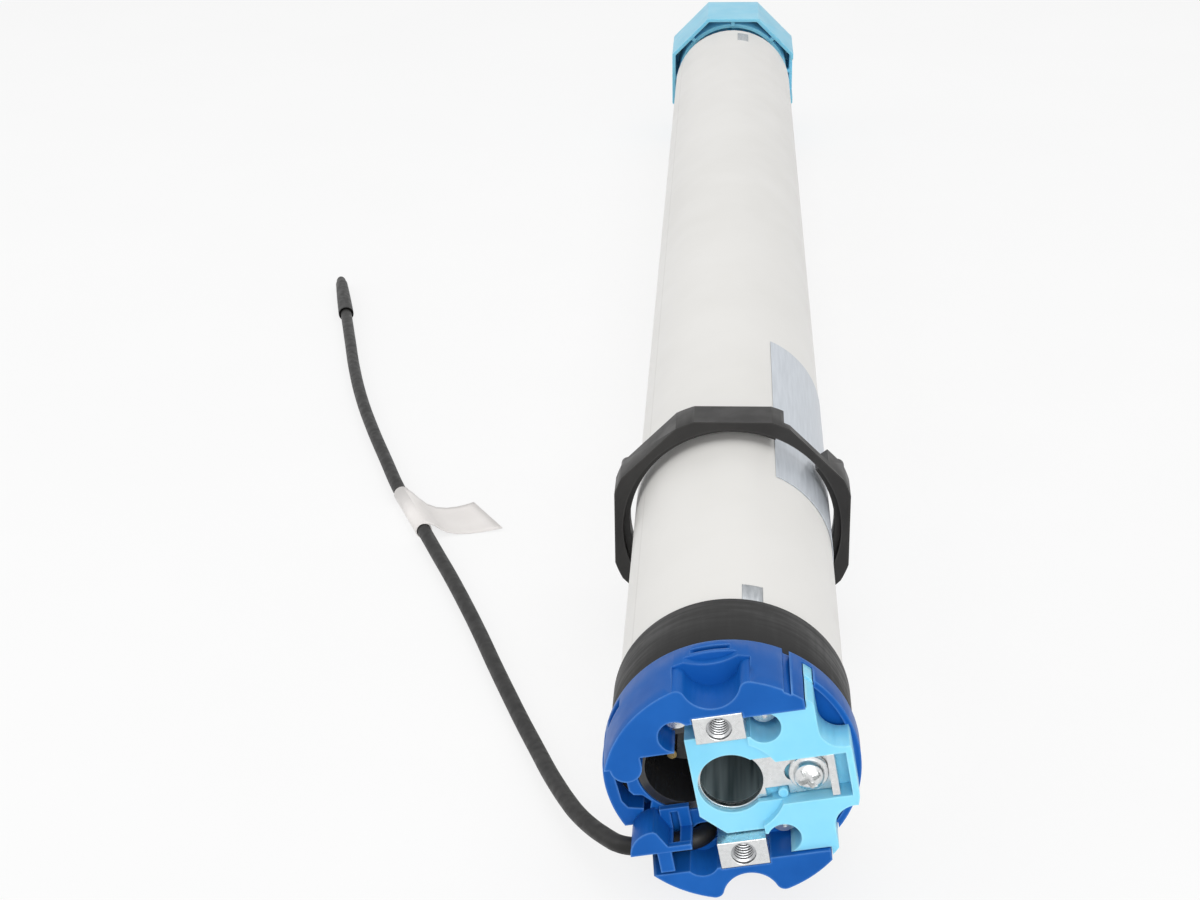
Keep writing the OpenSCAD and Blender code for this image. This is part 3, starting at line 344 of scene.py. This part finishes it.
nut_low, nut_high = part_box("insert_nuts")
nut_threads = []
for name, side in (("upper_nut_thread", 1), ("lower_nut_thread", -1)):
    middle = head_place(0, nut_low.y + THREAD_INSET, side * BOLT_PITCH / 2)
    ridge = link(thread(name, middle, nut_high.y - nut_low.y - 2 * THREAD_INSET), "motor")
    nut_threads.append(ridge)
print("threads:", [ridge.name for ridge in nut_threads])

# %% [markdown]
# ## The latch's screw
# A screw with a domed head and a flange holds the latch plate. It is a stack of rings about the
# screw's axis, from the tip of the shank to the top of the dome. The driver's cross is pressed into
# the dome: every point that falls inside the cross is moved back.

# %% Shape the screw's rings
SHANK_RINGS = [(14, 1.6), (13.6, 2), (4.2, 2), (4.2, 3.8), (4.0, 4), (3.4, 4), (3.22, 3.85), (3.1, 3.1),
               (2.1, 3.02)]
DOME_R = 2.9
DOME_STEPS = 29
DOME_TOP, DOME_FALL, DOME_POWER = 0.65, 1.1, 2.4
CROSS_TURN = math.radians(20)
CROSS_HALF_WIDTH, CROSS_HALF_LENGTH, CROSS_DEPTH = 0.5, 2.0, 1.3
CROSS_RIM, CROSS_SLOPE = 1.2, 0.3


def cross_depth(across, upward):
    """How deep the driver's cross is at a point of the dome, in mm."""
    u = abs(across * math.cos(CROSS_TURN) + upward * math.sin(CROSS_TURN))
    w = abs(upward * math.cos(CROSS_TURN) - across * math.sin(CROSS_TURN))
    nearest = min(max(u / CROSS_HALF_WIDTH, w / CROSS_HALF_LENGTH),
                  max(w / CROSS_HALF_WIDTH, u / CROSS_HALF_LENGTH))
    return CROSS_DEPTH * min(1, max(0, (CROSS_RIM - nearest) / CROSS_SLOPE))


dome_radii = [DOME_R * (1 - i / DOME_STEPS) for i in range(DOME_STEPS)]
dome_rings = [(DOME_TOP + DOME_FALL * (radius / DOME_R) ** DOME_POWER, radius) for radius in dome_radii]
print("screw rings:", len(SHANK_RINGS) + len(dome_rings))

# %% Dome the screw
SCREW_ACROSS = 15.5
SCREW_SIDES = 96
SCREW_SHARP = math.radians(38)


def screw_ring(y, radius, pressed):
    """One ring of the screw. The dome's rings have the cross pressed into them."""
    ring = []
    for angle in circle(SCREW_SIDES):
        across, upward = radius * math.cos(angle), radius * math.sin(angle)
        sunk = cross_depth(across, upward) if pressed else 0
        ring.append(head_place(SCREW_ACROSS + across, y + sunk, upward) * MM)
    return ring


screw_rings = [screw_ring(y, radius, False) for y, radius in SHANK_RINGS]
screw_rings += [screw_ring(y, radius, True) for y, radius in dome_rings]
pan_screw = link(skin("pan_screw", screw_rings, SCREW_SHARP), "motor")
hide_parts("latch_screw")
print("screw points:", len(pan_screw.data.vertices))

# %% [markdown]
# ## Softer edges
# Moulded plastic never has a knife edge: the small rounding catches the light and shows where one
# face ends. Rounding every edge in the CAD model would make it heavy, so a Bevel modifier does it
# here, with a width in mm for each node. A Weld modifier comes first, because the bevel needs faces
# that share their corner points.

# %% Round the edges
EDGES = {
    "head_housing": 0.28, "cable_clamp": 0.25, "bracket_insert": 0.25, "head_core": 0.2,
    "crown": 0.3, "drive_wheel": 0.25, "running_ring": 0.3, "insert_nuts": 0.2,
    "latch_plate": 0.12, "head_key": 0.15, "gear_key": 0.15, "end_cover": 0.3, "wheel_screw": 0.2,
}
SAME_POINT = 0.002 * MM
EDGE_TURN = math.radians(40)
for name, width in EDGES.items():
    weld = nodes[name].modifiers.new("weld", "WELD")
    weld.merge_threshold = SAME_POINT
    bevel = nodes[name].modifiers.new("round", "BEVEL")
    bevel.width = width * MM
    bevel.segments = 2
    bevel.limit_method = "ANGLE"
    bevel.angle_limit = EDGE_TURN
    bevel.use_clamp_overlap = True
    bevel.harden_normals = True
print("rounded nodes:", len(EDGES))

# %% [markdown]
# ## Tools for the finishes
# A finish is a small tree of shader nodes. A few helpers keep the trees short. The first two add a
# node with its connections, and start a new material.

# %% Node helpers
def put(tree, kind, inputs=None, **settings):
    """Adds a node. An input may be a plain value or another node's output."""
    made = tree.nodes.new(kind)
    for key, value in settings.items():
        setattr(made, key, value)
    for key, value in (inputs or {}).items():
        if isinstance(value, bpy.types.NodeSocket):
            tree.links.new(value, made.inputs[key])
        else:
            made.inputs[key].default_value = value
    return made


def start(name):
    """A new material, its node tree and its main shader."""
    material = bpy.data.materials.new(name)
    material.use_nodes = True
    return material, material.node_tree, material.node_tree.nodes["Principled BSDF"]


finishes = {}
print("finishes so far:", len(finishes))

# %% [markdown]
# Patterns come next: noise of a given size in the object's own space, and two ways to use it, as a
# number in a range or as a colour between a dark and a pale one.

# %% Pattern helpers
def speckle(tree, size_mm, detail=3.0, stretch=(1, 1, 1)):
    """Noise with lumps of about size_mm, longer along a direction where stretch is small."""
    coords = put(tree, "ShaderNodeTexCoord").outputs["Object"]
    grown = put(tree, "ShaderNodeMapping", {"Vector": coords, "Scale": stretch})
    noise = put(tree, "ShaderNodeTexNoise", {
        "Vector": grown.outputs["Vector"], "Scale": 1000 / size_mm, "Detail": detail})
    return noise.outputs[0]


def between(tree, value, low, high, start_at=0.35, end_at=0.65):
    """Turns a value into a number from low to high."""
    scaled = put(tree, "ShaderNodeMapRange", {
        "Value": value, "From Min": start_at, "From Max": end_at, "To Min": low, "To Max": high})
    return scaled.outputs["Result"]


def shades(tree, value, dark, pale, start_at=0.35, end_at=0.65):
    """Turns a value into a colour from dark to pale."""
    ramp = put(tree, "ShaderNodeValToRGB", {"Fac": value})
    stops = ramp.color_ramp.elements
    for stop, place, colour in zip(stops, (start_at, end_at), (dark, pale)):
        stop.position = place
        stop.color = (*colour, 1)
    return ramp.outputs["Color"]


print("patterns are measured in mm")

# %% [markdown]
# The last helpers lay one colour over another, give the shader its colour and roughness, and raise
# the surface a little with a Bump node.

# %% Surface helpers
def blend_colour(tree, share, under, over):
    """Lays one colour over another by a share from 0 to 1."""
    mix = put(tree, "ShaderNodeMix", data_type="RGBA")
    tree.links.new(share, mix.inputs[0])
    for index, colour in ((6, under), (7, over)):
        if isinstance(colour, bpy.types.NodeSocket):
            tree.links.new(colour, mix.inputs[index])
        else:
            mix.inputs[index].default_value = (*colour, 1)
    return mix.outputs[2]


def cover(tree, shader, colour, rough):
    """Gives the shader a colour and a roughness that vary over the surface."""
    tree.links.new(colour, shader.inputs["Base Color"])
    tree.links.new(rough, shader.inputs["Roughness"])


def relief(tree, shader, height, depth_mm, strength=1.0):
    """Raises the surface a little where the height is large."""
    bump = put(tree, "ShaderNodeBump", {
        "Height": height, "Distance": depth_mm * MM, "Strength": strength})
    tree.links.new(bump.outputs["Normal"], shader.inputs["Normal"])


print("helpers ready")

# %% [markdown]
# ## Ivory paint
# The tube is rolled steel sheet under smooth ivory paint. Sprayed paint has a fine orange-peel
# skin, a little unevenness in tone, and a faint line where the sheet's two edges were welded. The
# line is found by the angle round the tube.

# %% Paint the tube
SEAM_ANGLE = math.radians(-62)


def ivory_paint():
    material, tree, shader = start("ivory_paint")
    coat = shades(tree, speckle(tree, 40, 4), (0.79, 0.778, 0.75), (0.82, 0.808, 0.782))
    coords = put(tree, "ShaderNodeTexCoord").outputs["Object"]
    parts = put(tree, "ShaderNodeSeparateXYZ", {"Vector": coords}).outputs
    angle = put(tree, "ShaderNodeMath", {0: parts["X"], 1: parts["Z"]}, operation="ARCTAN2")
    off = put(tree, "ShaderNodeMath", {0: angle.outputs[0], 1: SEAM_ANGLE}, operation="SUBTRACT")
    apart = put(tree, "ShaderNodeMath", {0: off.outputs[0]}, operation="ABSOLUTE")
    seam = between(tree, apart.outputs[0], 0.35, 0.0, 0.004, 0.02)
    cover(tree, shader, blend_colour(tree, seam, coat, (0.6, 0.58, 0.55)),
          between(tree, speckle(tree, 12), 0.3, 0.4))
    relief(tree, shader, speckle(tree, 0.9, 2), 0.02, 0.35)
    return material


finishes["ivory_paint"] = ivory_paint()
print("paint ready")

# %% [markdown]
# ## Moulded plastics
# Most of the head, the crown and the wheel are moulded. One recipe serves them all: a colour that
# drifts a little, a satin surface whose gloss varies, a fine grain from the mould, and outer edges
# that are paler here and there, partly from wear and partly as a painted highlight where rounded
# edges catch the light. An Ambient Occlusion node that looks inwards finds those edges: its short
# rays meet nothing under a flat face, but beside an outer edge they soon come out through the next
# face. Inner corners stay as they are.

# %% Write the recipe
EDGE_REACH = 0.5 * MM
GLOW_COLOURS = (0.6, 0.9, 1.0)
GLOW_DEPTH = 1.2 * MM


def moulded(name, dark, pale, edge, rough, shine=0.3, glow=0.0):
    """A plastic with paler outer edges, partly worn and partly a painted highlight; shine is its mirror
    share, glow lets some light through.
    """
    material, tree, shader = start(name)
    body = shades(tree, speckle(tree, 14, 4), dark, pale)
    inward = put(tree, "ShaderNodeAmbientOcclusion", {"Distance": EDGE_REACH},
                 samples=6, inside=True, only_local=True)
    # The paler edge colour is partly wear and partly a painted highlight on the rounded edges.
    near_edge = between(tree, inward.outputs["AO"], 0.6, 0.0, 0.45, 0.93)
    patchy = between(tree, speckle(tree, 9), 0.5, 1.0)
    worn_and_highlit = put(tree, "ShaderNodeMath", {0: near_edge, 1: patchy}, operation="MULTIPLY")
    cover(tree, shader, blend_colour(tree, worn_and_highlit.outputs[0], body, edge),
          between(tree, speckle(tree, 6), *rough))
    shader.inputs["Specular IOR Level"].default_value = shine
    relief(tree, shader, speckle(tree, 0.5, 2), 0.012, 0.5)
    if glow:
        shader.inputs["Subsurface Weight"].default_value = glow
        shader.inputs["Subsurface Radius"].default_value = GLOW_COLOURS
        shader.inputs["Subsurface Scale"].default_value = GLOW_DEPTH
    return material


print("edges are rubbed within", EDGE_REACH / MM, "mm")

# %% [markdown]
# Each plastic is then a row of colours: the darkest and palest tone of its body, the tone of its
# outer edges, which is wear and painted highlight together, and the range of its roughness. The
# light blue lets a little light into its walls.

# %% Mould the plastics
PLASTICS = {
    "dark_blue_plastic": dict(
        dark=(0.004, 0.09, 0.37), pale=(0.008, 0.111, 0.43), edge=(0.16, 0.36, 0.74),
        rough=(0.33, 0.45), shine=0.15),
    "light_blue_plastic": dict(
        dark=(0.225, 0.635, 0.85), pale=(0.27, 0.685, 0.89), edge=(0.43, 0.79, 0.93),
        rough=(0.3, 0.4), glow=0.25),
    "black_plastic": dict(
        dark=(0.017, 0.017, 0.018), pale=(0.027, 0.027, 0.028), edge=(0.07, 0.07, 0.07),
        rough=(0.12, 0.2), shine=0.6),
    "crown_plastic": dict(
        dark=(0.017, 0.016, 0.016), pale=(0.027, 0.026, 0.025), edge=(0.07, 0.068, 0.066),
        rough=(0.38, 0.52)),
    "component_plastic": dict(
        dark=(0.04, 0.05, 0.08), pale=(0.07, 0.08, 0.11), edge=(0.15, 0.16, 0.2),
        rough=(0.4, 0.5)),
    "planet_plastic": dict(
        dark=(0.74, 0.70, 0.60), pale=(0.82, 0.78, 0.69), edge=(0.88, 0.85, 0.78),
        rough=(0.35, 0.45)),
}
for name, look in PLASTICS.items():
    finishes[name] = moulded(name, **look)
print("plastics:", sorted(PLASTICS))

# %% [markdown]
# ## The pin hole
# The head's core is black plastic too. The wall of its pin hole is painted a greener grey with lines
# along the hole, a painted reflection in the glossy wall. The distance from the motor's axis tells
# the hole from the rest, so the core needs no second object.

# %% Paint a reflection into the pin hole
PIN_HOLE_R = 6.5 * MM
PIN_HOLE_FADE = 0.2 * MM
HOLE_REFLECTION_DARK = (0.045, 0.065, 0.071)
HOLE_REFLECTION_PALE = (0.165, 0.205, 0.215)


def core_plastic():
    material = moulded("core_plastic", **PLASTICS["black_plastic"])
    tree = material.node_tree
    base = tree.nodes["Principled BSDF"].inputs["Base Color"]
    coords = put(tree, "ShaderNodeTexCoord").outputs["Object"]
    across = put(tree, "ShaderNodeVectorMath", {0: coords, 1: (1, 0, 1)}, operation="MULTIPLY")
    reach = put(tree, "ShaderNodeVectorMath", {0: across.outputs["Vector"]}, operation="LENGTH")
    inside = between(tree, reach.outputs["Value"], 1.0, 0.0, PIN_HOLE_R, PIN_HOLE_R + PIN_HOLE_FADE)
    # The grey-green lines inside the hole are a painted reflection on its glossy wall.
    hole_reflection = shades(tree, speckle(tree, 2.5, 2, stretch=(1, 0.05, 1)), HOLE_REFLECTION_DARK, HOLE_REFLECTION_PALE)
    tree.links.new(blend_colour(tree, inside, base.links[0].from_socket, hole_reflection), base)
    return material


finishes["core_plastic"] = core_plastic()
# The pin hole's grey-green wall is a painted reflection.
print("pin hole polished")

# %% [markdown]
# ## The running ring
# The dark grey ring turns on the head, and blinds rub along it. Its colour is a flat dark grey with
# faint scuffs that run round it, so the noise is stretched: long round the ring, short along it.

# %% Scuff the ring
def ring_plastic():
    material, tree, shader = start("ring_plastic")
    scuffs = speckle(tree, 1.2, 3, stretch=(0.12, 1, 0.12))
    cover(tree, shader,
          shades(tree, scuffs, (0.011, 0.011, 0.011), (0.02, 0.0197, 0.0195), 0.3, 0.75),
          between(tree, scuffs, 0.42, 0.6))
    shader.inputs["Specular IOR Level"].default_value = 0.2
    relief(tree, shader, speckle(tree, 0.4, 2), 0.012, 0.5)
    return material


finishes["ring_plastic"] = ring_plastic()
print("ring ready")

# %% [markdown]
# ## Metals
# Nuts, screws and the latch are zinc plated: bright, with a fine satin grain. The gears and keys
# are plainer steel. Stretching the noise along one direction gives the drawn look of bar and sheet.

# %% Plate the metals
def metal(name, dark, pale, rough, grain_mm=1.0, stretch=(1, 1, 1)):
    """A metal whose grain varies in tone; rough is the range of its roughness."""
    material, tree, shader = start(name)
    grain = speckle(tree, grain_mm, 4, stretch)
    cover(tree, shader, shades(tree, grain, dark, pale),
          between(tree, speckle(tree, 3 * grain_mm), *rough))
    shader.inputs["Metallic"].default_value = 1.0
    relief(tree, shader, grain, 0.005, 0.3)
    return material


METALS = {
    "zinc_steel": ((0.68, 0.69, 0.69), (0.76, 0.77, 0.77), (0.24, 0.34), 0.8),
    "key_steel": ((0.36, 0.38, 0.40), (0.46, 0.48, 0.50), (0.38, 0.5), 0.6, (1, 0.15, 1)),
    "gear_steel": ((0.40, 0.41, 0.42), (0.52, 0.53, 0.54), (0.28, 0.4), 0.8),
    "contact_brass": ((0.42, 0.31, 0.13), (0.5, 0.38, 0.18), (0.25, 0.36)),
    "can_aluminium": ((0.56, 0.57, 0.58), (0.68, 0.69, 0.70), (0.3, 0.42)),
    "core_iron": ((0.24, 0.24, 0.25), (0.34, 0.34, 0.35), (0.45, 0.6), 0.5, (0.1, 1, 0.1)),
    "copper": ((0.50, 0.22, 0.09), (0.66, 0.34, 0.17), (0.3, 0.42), 0.6, (1, 0.1, 1)),
}
for name, look in METALS.items():
    finishes[name] = metal(name, *look)
print("metals:", sorted(METALS))

# %% [markdown]
# ## Rubber and films
# The cord and its cap are black rubber with a pale bloom. The label is satin silver film, left
# bare, and the tag is glossy white film, also bare.

# %% Mix the rubber and the films
def black_rubber():
    material, tree, shader = start("black_rubber")
    cover(tree, shader,
          shades(tree, speckle(tree, 5, 4), (0.007, 0.0068, 0.0065), (0.014, 0.0135, 0.013)),
          between(tree, speckle(tree, 2), 0.4, 0.55))
    shader.inputs["Specular IOR Level"].default_value = 0.3
    relief(tree, shader, speckle(tree, 0.5, 2), 0.015, 0.5)
    return material


def label_film():
    material, tree, shader = start("label_film")
    drawn = speckle(tree, 0.7, 3, stretch=(1, 0.06, 1))
    cover(tree, shader, shades(tree, drawn, (0.54, 0.58, 0.63), (0.62, 0.66, 0.71)),
          between(tree, drawn, 0.34, 0.44))
    shader.inputs["Metallic"].default_value = 0.35
    relief(tree, shader, speckle(tree, 8, 2), 0.02, 0.3)
    return material


def tag_film():
    material, tree, shader = start("tag_film")
    cover(tree, shader, shades(tree, speckle(tree, 9, 3), (0.78, 0.75, 0.73), (0.82, 0.79, 0.77)),
          between(tree, speckle(tree, 4), 0.34, 0.46))
    relief(tree, shader, speckle(tree, 7, 1), 0.02, 0.12)
    return material


for make in (black_rubber, label_film, tag_film):
    finishes[make.__name__] = make()
print("finishes so far:", len(finishes))

# %% [markdown]
# ## The board and the brake
# Inside the tube, the control board is green with faint tracks, and the brake's lining is pressed
# fibre.

# %% Mix the board and the lining
def board_green():
    material, tree, shader = start("board_green")
    tracks = speckle(tree, 2, 1, stretch=(1, 0.2, 1))
    cover(tree, shader,
          shades(tree, tracks, (0.012, 0.09, 0.035), (0.03, 0.15, 0.065), 0.48, 0.52),
          between(tree, tracks, 0.3, 0.4))
    relief(tree, shader, tracks, 0.02, 0.3)
    return material


def brake_lining():
    material, tree, shader = start("brake_lining")
    fibre = speckle(tree, 0.8, 5)
    cover(tree, shader, shades(tree, fibre, (0.08, 0.065, 0.05), (0.16, 0.135, 0.11)),
          between(tree, fibre, 0.75, 0.9))
    relief(tree, shader, fibre, 0.05, 0.6)
    return material


for make in (board_green, brake_lining):
    finishes[make.__name__] = make()
print("finishes:", len(finishes))

# %% [markdown]
# ## Dress the pieces
# The CAD record names a finish for each of its nodes. The core takes its own version of black
# plastic, and the new pieces take the finish of what they stand for.

# %% Put the finishes on
slot_of = {part["node"]: part["material_slot"] for part in frame["record"]["subparts"]}
for name, piece in nodes.items():
    piece.data.materials.clear()
    piece.data.materials.append(finishes[slot_of[name]])
nodes["head_core"].data.materials[0] = finishes["core_plastic"]
for piece, finish in (
    (aerial_cord, "black_rubber"), (aerial_cap, "black_rubber"), (aerial_tag, "tag_film"),
    (pan_screw, "zinc_steel"),
):
    piece.data.materials.append(finishes[finish])
# The threads take a pale steel on their front flank as a painted highlight and a dark iron on the rest
# as painted shade.
for ridge in nut_threads:
    ridge.data.materials.append(finishes["gear_steel"])
    ridge.data.materials.append(finishes["core_iron"])
print("dressed nodes:", len(nodes))

# %% [markdown]
# ## The table
# The photograph stands on pure white. For the camera the table is mostly white light of its own,
# which hides its edge, and partly a plain matt surface, which keeps the motor's shadow. Shiny
# pieces see the same white, so a helper finds the rays that come from the camera, a reflection or
# a clear material.

# %% Set the table
TABLE_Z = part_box("crown")[0].z
TABLE_GLOW = 0.8
TABLE_HALF = 12.0


def seen(tree):
    """1 for a ray that shows the background, and 0 for one that only lights the motor."""
    path = put(tree, "ShaderNodeLightPath").outputs
    straight = put(tree, "ShaderNodeMath", {0: path["Is Camera Ray"], 1: path["Is Glossy Ray"]},
                   operation="MAXIMUM")
    either = put(tree, "ShaderNodeMath", {0: straight.outputs[0], 1: path["Is Transmission Ray"]},
                 operation="MAXIMUM")
    return either.outputs[0]


def table_white():
    material, tree, shader = start("table_white")
    matt = shades(tree, speckle(tree, 60, 2), (0.84, 0.84, 0.84), (0.87, 0.87, 0.87))
    tree.links.new(matt, shader.inputs["Base Color"])
    shader.inputs["Roughness"].default_value = 0.9
    share = put(tree, "ShaderNodeMath", {0: seen(tree), 1: TABLE_GLOW}, operation="MULTIPLY")
    white = put(tree, "ShaderNodeEmission", {"Color": (1, 1, 1, 1), "Strength": 1.0})
    mix = put(tree, "ShaderNodeMixShader", {
        0: share.outputs[0], 1: shader.outputs[0], 2: white.outputs[0]})
    tree.links.new(mix.outputs[0], tree.nodes["Material Output"].inputs["Surface"])
    return material


table_mesh = bpy.data.meshes.new("table")
table_corners = [
    (side * TABLE_HALF, end * TABLE_HALF, TABLE_Z)
    for side, end in ((-1, -1), (1, -1), (1, 1), (-1, 1))
]
table_mesh.from_pydata(table_corners, [], [(0, 1, 2, 3)])
table_mesh.materials.append(table_white())
table = bpy.data.objects.new("table", table_mesh)
bpy.context.scene.collection.objects.link(table)
print("table at", round(TABLE_Z / MM, 1), "mm")

# %% [markdown]
# ## The lights
# Soft boxes light the motor from all round in the photograph. Here a large box hangs above, a wide
# one stands at the front and a weaker one at the left. Each row gives a place, what it points at,
# its power and its size.

# %% Hang the lamps
LAMPS = (
    ("top_box", (0.2, 0.22, 1.1), (0.0, 0.22, 0.0), 5.0, 1.3),
    ("front_box", (0.16, -1.15, 0.48), (0.0, 0.05, 0.0), 9.8, 0.9),
    ("left_box", (-1.0, 0.1, 0.6), (0.0, 0.2, 0.0), 2.9, 0.9),
)
for name, place, target, power, size in LAMPS:
    light = bpy.data.lights.new(name, "AREA")
    light.energy = power
    light.size = size
    lamp = bpy.data.objects.new(name, light)
    lamp.location = place
    lamp.rotation_euler = (Vector(target) - Vector(place)).to_track_quat("-Z", "Y").to_euler()
    bpy.context.scene.collection.objects.link(lamp)
print("lamps:", [lamp[0] for lamp in LAMPS])

# %% [markdown]
# ## The background
# The room is white where it is seen, and lights the motor at less than half of that.

# %% Whiten the room
ROOM_LIGHT = 0.45
world = bpy.data.worlds.new("white_room")
bpy.context.scene.world = world
world.use_nodes = True
sky = world.node_tree
room = sky.nodes["Background"]
room.inputs["Color"].default_value = (1, 1, 1, 1)
sky.links.new(between(sky, seen(sky), ROOM_LIGHT, 1.0, 0.0, 1.0), room.inputs["Strength"])
bpy.context.scene.view_settings.view_transform = "Standard"
print("view:", bpy.context.scene.view_settings.view_transform)
